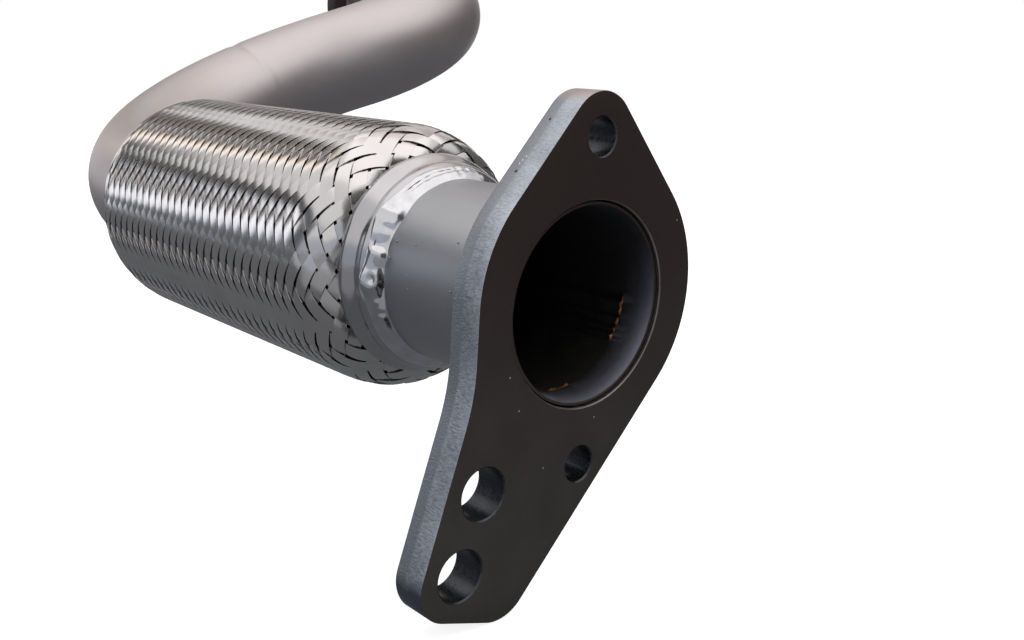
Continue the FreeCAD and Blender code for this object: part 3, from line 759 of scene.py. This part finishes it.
def weld_mesh(grid, root, way, leg, lap, centre, ripples, lumps, seed, marks):
    """A fillet weld on the pipe: a full bead with ripples round it and lumps where the arc dwelt.

    It laps over the ring's nose by a length, and thins out to nothing on the pipe.

    Marks are (angle, half width in degrees, along, out in millimetres, place, spread): each moves the
    skin near an angle round the pipe and near a place across the bead, 0 on the ring and 1 on the pipe.
    """
    outline = [(root - way * lap, PIPE_RADIUS)]
    for k in range(WELD_STEPS + 1):
        share = k / WELD_STEPS
        outline.append((root + way * ((leg + lap) * share - lap),
                        PIPE_RADIUS + (leg + 0.24 * lap) * (1 - share ** 2) ** 1.3))
    last = len(outline) - 1

    def bump(index, along, out, angle):
        if index == 0:
            return along, out
        y, z = math.cos(angle), math.sin(angle)
        edge = math.sin(math.pi * (index - 0.5) / last)
        foot = min(1.0, (last - index) / 4)
        phase = ripples * angle / math.tau + 0.35 * noise.noise((y * 4, z * 4, seed))
        ripple = RIPPLE_SHARE * (0.5 - 0.5 * math.cos(math.tau * phase))
        rough = ROUGH_SHARE * noise.noise(Vector((along, out * y, out * z)) / ROUGH_SIZE)
        lump = LUMP_SHARE * noise.noise((y * lumps, z * lumps, seed + 7))
        move = leg * (edge * foot * (ripple + rough) + lump)
        along += way * MOVE_SHARE * move
        rise = MOVE_SHARE * move
        across = (index - 1) / (last - 1)
        for degrees, width, shift, lift, place, spread in marks:
            near = ((math.degrees(angle) - degrees) / width) ** 2 + ((across - place) / spread) ** 2
            if near < 9:
                along += way * shift * MM * math.exp(-near)
                rise += lift * MM * math.exp(-near)
        return along, out + rise * foot

    lathe(grid, outline, 12 * ripples, centre, bump)


# Leg of the welds and their lap over a cap's nose, in millimetres, and how much of the leg the bead fills
PLATE_WELD = (4.0, 0.0)
CAP_WELD = (3.4, 1.6)
WELD_FULLNESS = 0.93

# Where the bead at the front cap differs from an even fillet, as the photograph shows it
CAP_BEAD_MARKS = (
    (112, 26, 0.0, -0.8, 0.42, 0.13),
    (232, 24, 0.0, -0.3, 0.35, 0.12),
    (142, 12, 1.0, 0.5, 0.8, 0.6),
    (146, 11, -0.8, 1.1, 0.0, 0.35),
    (151, 2.5, 0.0, -0.4, 0.6, 0.25),
    (161, 3.5, 0.0, -0.8, 0.45, 0.4),
    (168, 4.5, 0.8, 0.6, 0.7, 0.6),
    (182, 7, 0.9, 1.2, 0.6, 0.6),
    (182, 7, -0.6, 1.2, 0.0, 0.3),
    (181, 2.6, 0.0, -1.2, 0.45, 0.18),
    (203, 14, 0.4, 0.2, 0.6, 0.5),
)


class FLEX_OT_welds(bpy.types.Operator):
    """Build the weld beads behind the plates and at the caps"""

    bl_idname = "flex.welds"
    bl_label = "Weld beads"

    def execute(self, context):
        ripples = context.scene.flex_sizes.weld_steps
        bright, dull = "bright_weld_metal", "heat_dulled_weld"
        for name, root, way, leg, lap, centre, lumps, seed, marks, finish, body, node in (
            ("inlet_bead", PLATE_LOW.x, -1, *PLATE_WELD, (0, 0), 2.0, 10, (), bright, "inlet_end",
             "inlet_flange_weld"),
            ("front_cap_bead", FRONT_NOSE, 1, *CAP_WELD, (0, 0), 3.0, 14, CAP_BEAD_MARKS, bright, "inlet_end",
             "front_cap_weld"),
            ("rear_cap_bead", REAR_NOSE, -1, *CAP_WELD, (0, 0), 3.0, 13, (), bright, "outlet_end",
             "rear_cap_weld"),
            ("outlet_bead", OUTLET_HIGH.x, 1, *PLATE_WELD, OUTLET_AXIS, 2.0, 11, (), dull, "outlet_end",
             "outlet_flange_weld"),
        ):
            mesh = mesh_from(name, lambda grid: weld_mesh(
                grid, root, way, leg * MM * WELD_FULLNESS, lap * MM, centre, ripples, lumps, seed, marks))
            finish_piece(name, mesh, finish, body, node, 75)
        return {"FINISHED"}


# How deep the middle of the woven layer lies in the sleeve, in millimetres
WEAVE_DEPTH = 0.68


def braid_section():
    """Middle of the woven layer as (along, out) places, from under the front lip to under the rear lip."""
    start = CAP_INNER + LIP_RISE - LAYER_GAP - WEAVE_DEPTH
    top = BRAID_RADIUS / MM - WEAVE_DEPTH
    half = [(-(CAP_DEPTH - LIP_LENGTH + LAYER_GAP), CAP_INNER - LAYER_GAP - WEAVE_DEPTH)]
    for k in range(25):
        angle = math.pi / 2 * k / 24
        half.append((-(CAP_DEPTH + LAYER_GAP + SHOULDER * (1 - math.cos(angle))),
                     start + (top - start) * math.sin(angle)))
    front = [Vector((FRONT_NOSE + x * MM, 0, r * MM)) for x, r in half]
    rear = [Vector((REAR_NOSE - x * MM, 0, r * MM)) for x, r in reversed(half)]
    return front + rear


def braid_tree(material):
    """Geometry Nodes: flat strips wound both ways along a sleeve's section, each over two and under two.

    A flat box is laid for each strip. Its length becomes the distance along the section and its turn round
    the axis, its width is laid square to its run, and its height rises and falls with the crossings.
    """
    tree = bpy.data.node_groups.new("woven_sleeve", "GeometryNodeTree")
    face = tree.interface
    for name, kind, default in (
        ("Section", "NodeSocketGeometry", None),
        ("From", "NodeSocketFloat", 0.0),
        ("To", "NodeSocketFloat", 0.1),
        ("Whole Length", "NodeSocketFloat", 0.2),
        ("Strips Round", "NodeSocketInt", 24),
        ("Strip Width", "NodeSocketFloat", 0.004),
        ("Strip Thickness", "NodeSocketFloat", 0.0003),
        ("Row Pitch", "NodeSocketFloat", 0.0053),
        ("Wave Height", "NodeSocketFloat", 0.0004),
        ("Open Share", "NodeSocketFloat", 0.3),
        ("Open Length", "NodeSocketFloat", 0.008),
        ("Steps", "NodeSocketInt", 100),
    ):
        socket = face.new_socket(name, in_out="INPUT", socket_type=kind)
        if default is not None:
            socket.default_value = default
    face.new_socket("Sleeve", in_out="OUTPUT", socket_type="NodeSocketGeometry")
    add = partial(put, tree)
    given = add("NodeGroupInput").outputs

    # One flat box for each strip of both directions
    length = add("SUBTRACT", given["To"], given["From"])
    size = add("ShaderNodeCombineXYZ", length, given["Strip Width"], given["Strip Thickness"])
    box = add("GeometryNodeMeshCube", size, given["Steps"], 3, 2)
    both = add("MULTIPLY", given["Strips Round"], 2.0)
    line = add("GeometryNodeMeshLine", ("Count", both), ("Offset", (0, 0, 0)))
    number = add("GeometryNodeInputIndex")
    numbered = add("GeometryNodeStoreNamedAttribute", line, ("Name", "strip"), ("Value", number),
                   data_type="INT", domain="POINT")
    laid = add("GeometryNodeInstanceOnPoints", numbered, ("Instance", box))
    real = add("GeometryNodeRealizeInstances", laid)

    # Where each point is on its strip: along, across and through it
    spot = add("ShaderNodeSeparateXYZ", add("GeometryNodeInputPosition"))
    across, through = spot.outputs[1], spot.outputs[2]
    middle = add("MULTIPLY", add("ADD", given["From"], given["To"]), 0.5)
    along = add("ADD", spot.outputs[0], middle)
    strip = add("GeometryNodeInputNamedAttribute", ("Name", "strip"), data_type="INT")
    second = add("GREATER_THAN", add("ADD", strip, 0.5), given["Strips Round"])
    way = add("MULTIPLY_ADD", second, -2.0, 1.0)
    place_round = add("MODULO", strip, given["Strips Round"])
    spacing = add("DIVIDE", math.tau, given["Strips Round"])

    # Turn round the axis: even along the body, and opened out beside the caps
    slope = add("DIVIDE", spacing, given["Row Pitch"])
    near_front = add("EXPONENT", add("DIVIDE", add("MULTIPLY", along, -1.0), given["Open Length"]))
    left_over = add("SUBTRACT", along, given["Whole Length"])
    near_rear = add("EXPONENT", add("DIVIDE", left_over, given["Open Length"]))
    opened = add("MULTIPLY", add("ADD", near_front, near_rear), given["Open Share"])
    local_slope = add("MULTIPLY", slope, add("SUBTRACT", 1.0, opened))
    lag = add("MULTIPLY", add("SUBTRACT", near_front, near_rear),
              add("MULTIPLY", given["Open Share"], given["Open Length"]))
    wound = add("MULTIPLY", slope, add("ADD", along, lag))

    # The strip's direction sets how its width lies on the sleeve
    curve = add("GeometryNodeMeshToCurve", given["Section"])
    centre = add("GeometryNodeSampleCurve", ("Curves", curve), ("Length", along), mode="LENGTH")
    radius = add("ShaderNodeSeparateXYZ", centre.outputs["Position"]).outputs[2]
    rise = add("ARCTANGENT", add("DIVIDE", 1.0, add("MULTIPLY", radius, local_slope)))
    lean_along = add("COSINE", rise)
    lean_round = add("DIVIDE", add("SINE", rise), radius)
    point_along = add("MULTIPLY_ADD", across, lean_along, along)
    strip_angle = add("ADD", add("MULTIPLY", way, wound), add("MULTIPLY", place_round, spacing))
    signed_across = add("MULTIPLY", across, way)
    angle = add("SUBTRACT", strip_angle, add("MULTIPLY", signed_across, lean_round))

    # Over two, under two: the phase counts crossings, and bends run along the crossing strips
    skew = add("SUBTRACT", add("MULTIPLY", local_slope, lean_along), lean_round)
    crossing = add("MULTIPLY_ADD", signed_across, skew, add("MULTIPLY", strip_angle, 2.0))
    phase = add("MULTIPLY", add("SUBTRACT", add("DIVIDE", crossing, spacing), 0.5), math.pi / 2)
    swing = add("COSINE", phase)
    flat = add("MULTIPLY_ADD", add("MULTIPLY", swing, swing), -0.6, 1.6)
    wave = add("MULTIPLY", add("MULTIPLY", swing, flat), add("MULTIPLY", way, given["Wave Height"]))
    share = add("DIVIDE", across, given["Strip Width"])
    crown = add("MULTIPLY", add("MULTIPLY", share, share), add("MULTIPLY", given["Strip Width"], 0.03))
    height = add("SUBTRACT", add("ADD", through, wave), crown)

    # Place on the sleeve, lifted square to the section
    there = add("GeometryNodeSampleCurve", ("Curves", curve), ("Length", point_along), mode="LENGTH")
    base = add("ShaderNodeSeparateXYZ", there.outputs["Position"])
    run = add("ShaderNodeSeparateXYZ", there.outputs["Tangent"])
    x = add("MULTIPLY_ADD", height, run.outputs[2], base.outputs[0])
    lifted = add("SUBTRACT", base.outputs[2], add("MULTIPLY", height, run.outputs[0]))
    y = add("MULTIPLY", lifted, add("COSINE", angle))
    z = add("MULTIPLY", lifted, add("SINE", angle))
    place = add("ShaderNodeCombineXYZ", x, y, z)
    flat_place = add("ShaderNodeCombineXYZ", add("ADD", along, strip), across)
    mapped = add("GeometryNodeStoreNamedAttribute", real, ("Name", "strip_uv"), ("Value", flat_place),
                 data_type="FLOAT2", domain="CORNER")
    woven = add("GeometryNodeSetPosition", mapped, ("Position", place))
    finished = add("GeometryNodeSetMaterial", woven, ("Material", material))
    add("NodeGroupOutput", finished)
    return tree


def from_tree(name, source, tree, values):
    """The plain mesh that a node tree makes from a source mesh, with the inputs given by name."""
    host = bpy.data.objects.new(name, source)
    bpy.context.scene.collection.objects.link(host)
    modifier = host.modifiers.new("tree", "NODES")
    modifier.node_group = tree
    for item in tree.interface.items_tree:
        if item.in_out == "INPUT" and item.name in values:
            modifier[item.identifier] = values[item.name]
    bpy.context.view_layer.update()
    evaluated = host.evaluated_get(bpy.context.evaluated_depsgraph_get())
    mesh = bpy.data.meshes.new_from_object(evaluated)
    host.modifiers.remove(modifier)
    bpy.data.objects.remove(host)
    return mesh


def bend_front(piece):
    """Bake the front half of a flexing layer into its place."""
    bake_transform(piece)


def bend_rear(piece):
    """Bake the rear half of a flexing layer into its place."""
    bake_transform(piece)


# How much the weave opens beside the caps and over what length, and the points along half a strip
OPEN_SHARE = 0.3
OPEN_LENGTH = 8 * MM
STRIP_STEPS = 100


class FLEX_OT_braid(bpy.types.Operator):
    """Weave the outer sleeve from flat strips"""

    bl_idname = "flex.braid"
    bl_label = "Braid"

    def execute(self, context):
        sizes = context.scene.flex_sizes
        places = braid_section()
        whole = sum((b - a).length for a, b in zip(places, places[1:]))
        tree = braid_tree(all_materials()["rolled_stainless_strip"])
        for name, begin, end, bend in (
            ("braid_front", 0.0, whole / 2, bend_front),
            ("braid_rear", whole / 2, whole, bend_rear),
        ):
            section = bpy.data.meshes.new(name + "_section")
            section.from_pydata(places, [(k, k + 1) for k in range(len(places) - 1)], [])
            mesh = from_tree(name + "_host", section, tree, {
                "From": begin,
                "To": end,
                "Whole Length": whole,
                "Strips Round": sizes.strips_round,
                "Strip Width": sizes.strip_width,
                "Strip Thickness": sizes.strip_thickness,
                "Row Pitch": sizes.row_pitch,
                "Wave Height": sizes.wave_height,
                "Open Share": OPEN_SHARE,
                "Open Length": OPEN_LENGTH,
                "Steps": STRIP_STEPS,
            })
            bend(finish_piece(name, mesh, "rolled_stainless_strip", node="outer_braid"))
        return {"FINISHED"}


def bellows_outline(first, last, folds, root, crest, wall, sleeve_end, sleeve_radius):
    """Section of half the bellows: round folds of one wall, and a sleeve over the pipe's end."""
    outer = [(sleeve_end, sleeve_radius + wall), (first, sleeve_radius + wall)]
    steps = 16 * folds
    middle = (root + crest) / 2
    reach = (crest - root) / 2 - wall / 2
    line = []
    for k in range(steps + 1):
        turn = math.tau * k * folds / steps
        line.append((first + (last - first) * k / steps, middle - reach * math.cos(turn)))
    outer += [(x, r + wall / 2) for x, r in line]
    inner = [(x, r - wall / 2) for x, r in line]
    return outer + list(reversed(inner)) + [(first, sleeve_radius), (sleeve_end, sleeve_radius)]


def liner_outline(first, last, rings, radius, wall, groove):
    """Section of half the liner: a wall with the step of each locked turn on its inner side."""
    pitch = (last - first) / rings
    inner = []
    for k in range(rings):
        for share, deep in ((0.0, 0), (0.38, 0), (0.42, groove), (0.58, groove), (0.62, 0)):
            inner.append((first + pitch * k + share * pitch, radius - wall + deep))
    return [(first, radius), (last, radius), (last, radius - wall)] + list(reversed(inner))


# Bellows, in millimetres: where its folds and its sleeve begin behind a cap's nose, the radii of the folds'
# roots and crests, and its wall
FOLDS_BEGIN = 23
SLEEVE_BEGINS = 2.2
FOLD_ROOT = 31.6
FOLD_CREST = 41.4
FOLD_WALL = 0.5

# Liner, in millimetres: where it begins behind a cap's nose, the locked turns in one half, wall and groove
LINER_BEGINS = 5.3
LINER_TURNS = 9
LINER_WALL = 1.5
LINER_GROOVE = 0.6


class FLEX_OT_inner(bpy.types.Operator):
    """Build the bellows and the liner, each in two halves"""

    bl_idname = "flex.inner"
    bl_label = "Bellows and liner"

    def execute(self, context):
        folds = context.scene.flex_sizes.folds // 2
        for half, nose, way, bend in (("front", FRONT_NOSE, -1, bend_front), ("rear", REAR_NOSE, 1, bend_rear)):
            bellows = bellows_outline(
                nose + way * FOLDS_BEGIN * MM, FLEX_MIDDLE, folds, FOLD_ROOT * MM, FOLD_CREST * MM,
                FOLD_WALL * MM, nose + way * SLEEVE_BEGINS * MM, PIPE_RADIUS + LAYER_GAP * MM)
            liner = liner_outline(nose + way * LINER_BEGINS * MM, FLEX_MIDDLE, LINER_TURNS, PIPE_RADIUS,
                                  LINER_WALL * MM, LINER_GROOVE * MM)
            for name, outline, segments, finish, node in (
                ("bellows_", bellows, 96, "bellows_sheet_painted_shade", "bellows"),
                ("liner_", liner, 128, "heat_tinted_liner", "interlock_liner"),
            ):
                mesh = mesh_from(name + half, lambda grid: lathe(grid, outline, segments))
                bend(finish_piece(name + half, mesh, finish, node=node))
        return {"FINISHED"}


# The photograph's view, found from the round bore and the holes of the inlet plate
CAMERA_PLACE = (194.569 * MM, -210.135 * MM, 59.926 * MM)
CAMERA_AZIMUTH = math.radians(47.04)
CAMERA_DOWN = math.radians(12.85)
CAMERA_ROLL = math.radians(3.35)
CAMERA_LENS = 37.55

# The floor: how far it lies below the plate and reaches, its grey, and its glow in the picture
FLOOR_BELOW = 0.4 * MM
FLOOR_REACH = 6.0
FLOOR_GREY = (0.5, 0.5, 0.5, 1)
FLOOR_GLOW = 0.82

# Strength of the world on the object. In the picture and in reflections it is 1, which is white.
WORLD_STRENGTH = 0.72

# The lamp overhead: place, target, width and depth, watts and colour
LAMP = ((0.1, 0.1, 1.2), (0.1, 0.1, 0), (2.4, 1.8), 8, (1.0, 0.93, 0.92))

# What the metal mirrors to that view, on cards this far from the middle of the sleeve: name, azimuths and
# rises in degrees, and (red, green, blue, strength)
CARD_REACH = 1.4
CARDS = (
    ("warm_grey_behind", (128, 170), (4, 27), (1.0, 0.93, 0.9, 0.33)),
    ("warm_grey_above", (95, 165), (36, 66), (1.0, 0.9, 0.86, 0.62)),
    ("dark_line", (170, 180), (8, 36), (1.0, 0.97, 0.95, 0.1)),
    ("warm_window", (180, 185.5), (13, 40), (1.0, 0.78, 0.58, 1.4)),
    ("white_window", (185.5, 194.5), (13, 40), (1.0, 0.95, 0.92, 1.75)),
    ("dark_band", (194.5, 206), (13, 28), (0.95, 0.97, 1.0, 0.03)),
    ("dark_band_right", (206, 226), (16.5, 28), (0.95, 0.97, 1.0, 0.03)),
    ("dark_gap", (190, 199), (-3.6, 13), (0.95, 0.97, 1.0, 0.05)),
    ("pale_side", (199, 206), (-2, 13), (0.96, 0.98, 1.04, 1.75)),
    ("pale_side_right", (206, 217), (-2, 16.5), (0.96, 0.98, 1.04, 1.75)),
    ("dark_foot", (199, 217), (-3.6, -2), (0.95, 0.97, 1.0, 0.08)),
    ("grey_side", (217, 226), (-3.6, 16.5), (0.86, 0.94, 1.1, 0.36)),
    ("dark_side", (226, 250), (-3, 28), (0.88, 0.95, 1.08, 0.15)),
    ("grey_front", (250, 335), (-3, 14), (0.88, 0.95, 1.08, 0.62)),
    ("dark_right", (335, 480), (-3, 32), (1.0, 0.97, 0.96, 0.13)),
)

# Cards on the floor round the middle of the sleeve: name, azimuths, distances in metres, tone
FLOOR_CARDS = (
    ("dark_table", (15, 265), (0.001, CARD_REACH), (0.93, 0.97, 1.04, 0.17)),
    ("dark_table_middle", (265, 375), (0.001, 0.2), (0.93, 0.97, 1.04, 0.17)),
    ("grey_table", (265, 375), (0.2, CARD_REACH), (0.95, 0.97, 1.02, 0.4)),
)


def add_card(name, azimuths, rises, tone):
    """Add a curved card round the sleeve between two azimuths, and between two (distance, height) pairs.

    Only reflections show it: it stands for what was round the object in the photographer's room.
    """
    material, tree, output = fresh_material(name)
    light = put(tree, "ShaderNodeEmission", ("Color", (*tone[:3], 1)), ("Strength", tone[3]))
    tree.links.new(light.outputs[0], output.inputs["Surface"])
    steps = max(2, round((azimuths[1] - azimuths[0]) / 5))
    points = []
    for reach, height in rises:
        for k in range(steps + 1):
            angle = math.radians(azimuths[0] + (azimuths[1] - azimuths[0]) * k / steps)
            points.append((FLEX_MIDDLE + reach * math.cos(angle), reach * math.sin(angle), height))
    card = add_surface(name, points, [(k, k + 1, steps + k + 2, steps + k + 1) for k in range(steps)], material)
    card.visible_camera = False
    card.visible_diffuse = False
    card.visible_shadow = False
    card.visible_transmission = False


def add_surface(name, points, faces, material):
    """Add a surface of the stage, which is no part of the object."""
    mesh = bpy.data.meshes.new(name)
    mesh.from_pydata(points, [], faces)
    mesh.materials.append(material)
    surface = bpy.data.objects.new(name, mesh)
    bpy.context.scene.collection.objects.link(surface)
    return surface


def shown_share(tree):
    """1 for what the camera sees, straight, mirrored or through glass, and 0 for light on the object."""
    path = put(tree, "ShaderNodeLightPath").outputs
    seen = put(tree, "MAXIMUM", path["Is Camera Ray"], path["Is Glossy Ray"])
    return put(tree, "MAXIMUM", seen, path["Is Transmission Ray"])


def floor_material():
    """A matt surface that also glows to the camera and in reflections, so it reads white."""
    material, tree, output = fresh_material("pale_floor")
    strength = put(tree, "MULTIPLY", shown_share(tree), FLOOR_GLOW)
    matt = put(tree, "ShaderNodeBsdfDiffuse", ("Color", FLOOR_GREY))
    light = put(tree, "ShaderNodeEmission", ("Color", (1, 1, 1, 1)), ("Strength", strength))
    both = put(tree, "ShaderNodeAddShader", matt, light)
    tree.links.new(both.outputs[0], output.inputs["Surface"])
    return material


def add_lamp(name, place, target, size, power, colour):
    """A soft rectangular lamp that points from its place to a target."""
    lamp = bpy.data.lights.new(name, "AREA")
    lamp.shape = "RECTANGLE"
    lamp.size, lamp.size_y = size
    lamp.energy = power
    lamp.color = colour
    holder = bpy.data.objects.new(name, lamp)
    bpy.context.scene.collection.objects.link(holder)
    holder.location = place
    holder.rotation_euler = (Vector(target) - Vector(place)).to_track_quat("-Z", "Y").to_euler()


class FLEX_OT_stage(bpy.types.Operator):
    """Set the floor, the cards, the lamp, the world and the camera"""

    bl_idname = "flex.stage"
    bl_label = "Stage"

    def execute(self, context):
        scene = context.scene
        low, reach = PLATE_LOW.z - FLOOR_BELOW, FLOOR_REACH
        add_surface("floor", [(-reach, -reach, low), (reach, -reach, low), (reach, reach, low),
                              (-reach, reach, low)], [(0, 1, 2, 3)], floor_material())
        world = bpy.data.worlds.new("studio")
        world.use_nodes = True
        tree = world.node_tree
        tree.nodes.clear()
        strength = put(tree, "ShaderNodeMapRange", ("Value", shown_share(tree)), ("To Min", WORLD_STRENGTH),
                       ("To Max", 1.0))
        sky = put(tree, "ShaderNodeBackground", ("Color", (1, 1, 1, 1)), ("Strength", strength))
        put(tree, "ShaderNodeOutputWorld", sky)
        scene.world = world
        add_lamp("overhead", *LAMP)
        for name, azimuths, rises, tone in CARDS:
            heights = [CARD_REACH * math.tan(math.radians(rise)) for rise in rises]
            add_card(name, azimuths, [(CARD_REACH, height) for height in heights], tone)
        for name, azimuths, reaches, tone in FLOOR_CARDS:
            add_card(name, azimuths, [(reach, low + 1 * MM) for reach in reaches], tone)
        camera = bpy.data.cameras.new("camera")
        camera.lens = CAMERA_LENS
        camera.sensor_width = 36.0
        camera.clip_start = 0.01
        holder = bpy.data.objects.new("camera", camera)
        scene.collection.objects.link(holder)
        turn = Matrix.Rotation(CAMERA_AZIMUTH, 4, "Z") @ Matrix.Rotation(math.pi / 2 - CAMERA_DOWN, 4, "X")
        holder.matrix_world = Matrix.Translation(CAMERA_PLACE) @ turn @ Matrix.Rotation(CAMERA_ROLL, 4, "Z")
        scene.camera = holder
        scene.view_settings.view_transform = "Standard"
        return {"FINISHED"}


class FLEX_PT_panel(bpy.types.Panel):
    """Lists the sizes, the colours and the steps"""

    bl_idname = "FLEX_PT_panel"
    bl_label = "Exhaust flex pipe"
    bl_space_type = "VIEW_3D"
    bl_region_type = "UI"
    bl_category = "Flex pipe"

    def draw(self, context):
        for group in (context.scene.flex_sizes, context.scene.flex_colours):
            for key in group.__annotations__:
                self.layout.prop(group, key)
        for step in STEPS:
            self.layout.operator(step.bl_idname)


STEPS = (
    FLEX_OT_stage,
    FLEX_OT_plates,
    FLEX_OT_tubes,
    FLEX_OT_caps,
    FLEX_OT_welds,
    FLEX_OT_inner,
    FLEX_OT_braid,
)
CLASSES = (FLEX_sizes, FLEX_colours) + STEPS + (FLEX_PT_panel,)


def register():
    for item in CLASSES:
        bpy.utils.register_class(item)
    bpy.types.Scene.flex_sizes = bpy.props.PointerProperty(type=FLEX_sizes)
    bpy.types.Scene.flex_colours = bpy.props.PointerProperty(type=FLEX_colours)


def unregister():
    del bpy.types.Scene.flex_colours
    del bpy.types.Scene.flex_sizes
    for item in reversed(CLASSES):
        bpy.utils.unregister_class(item)


def main():
    """Register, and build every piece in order."""
    register()
    for step in STEPS:
        area, name = step.bl_idname.split(".")
        getattr(getattr(bpy.ops, area), name)()


if __name__ == "__main__":
    main()
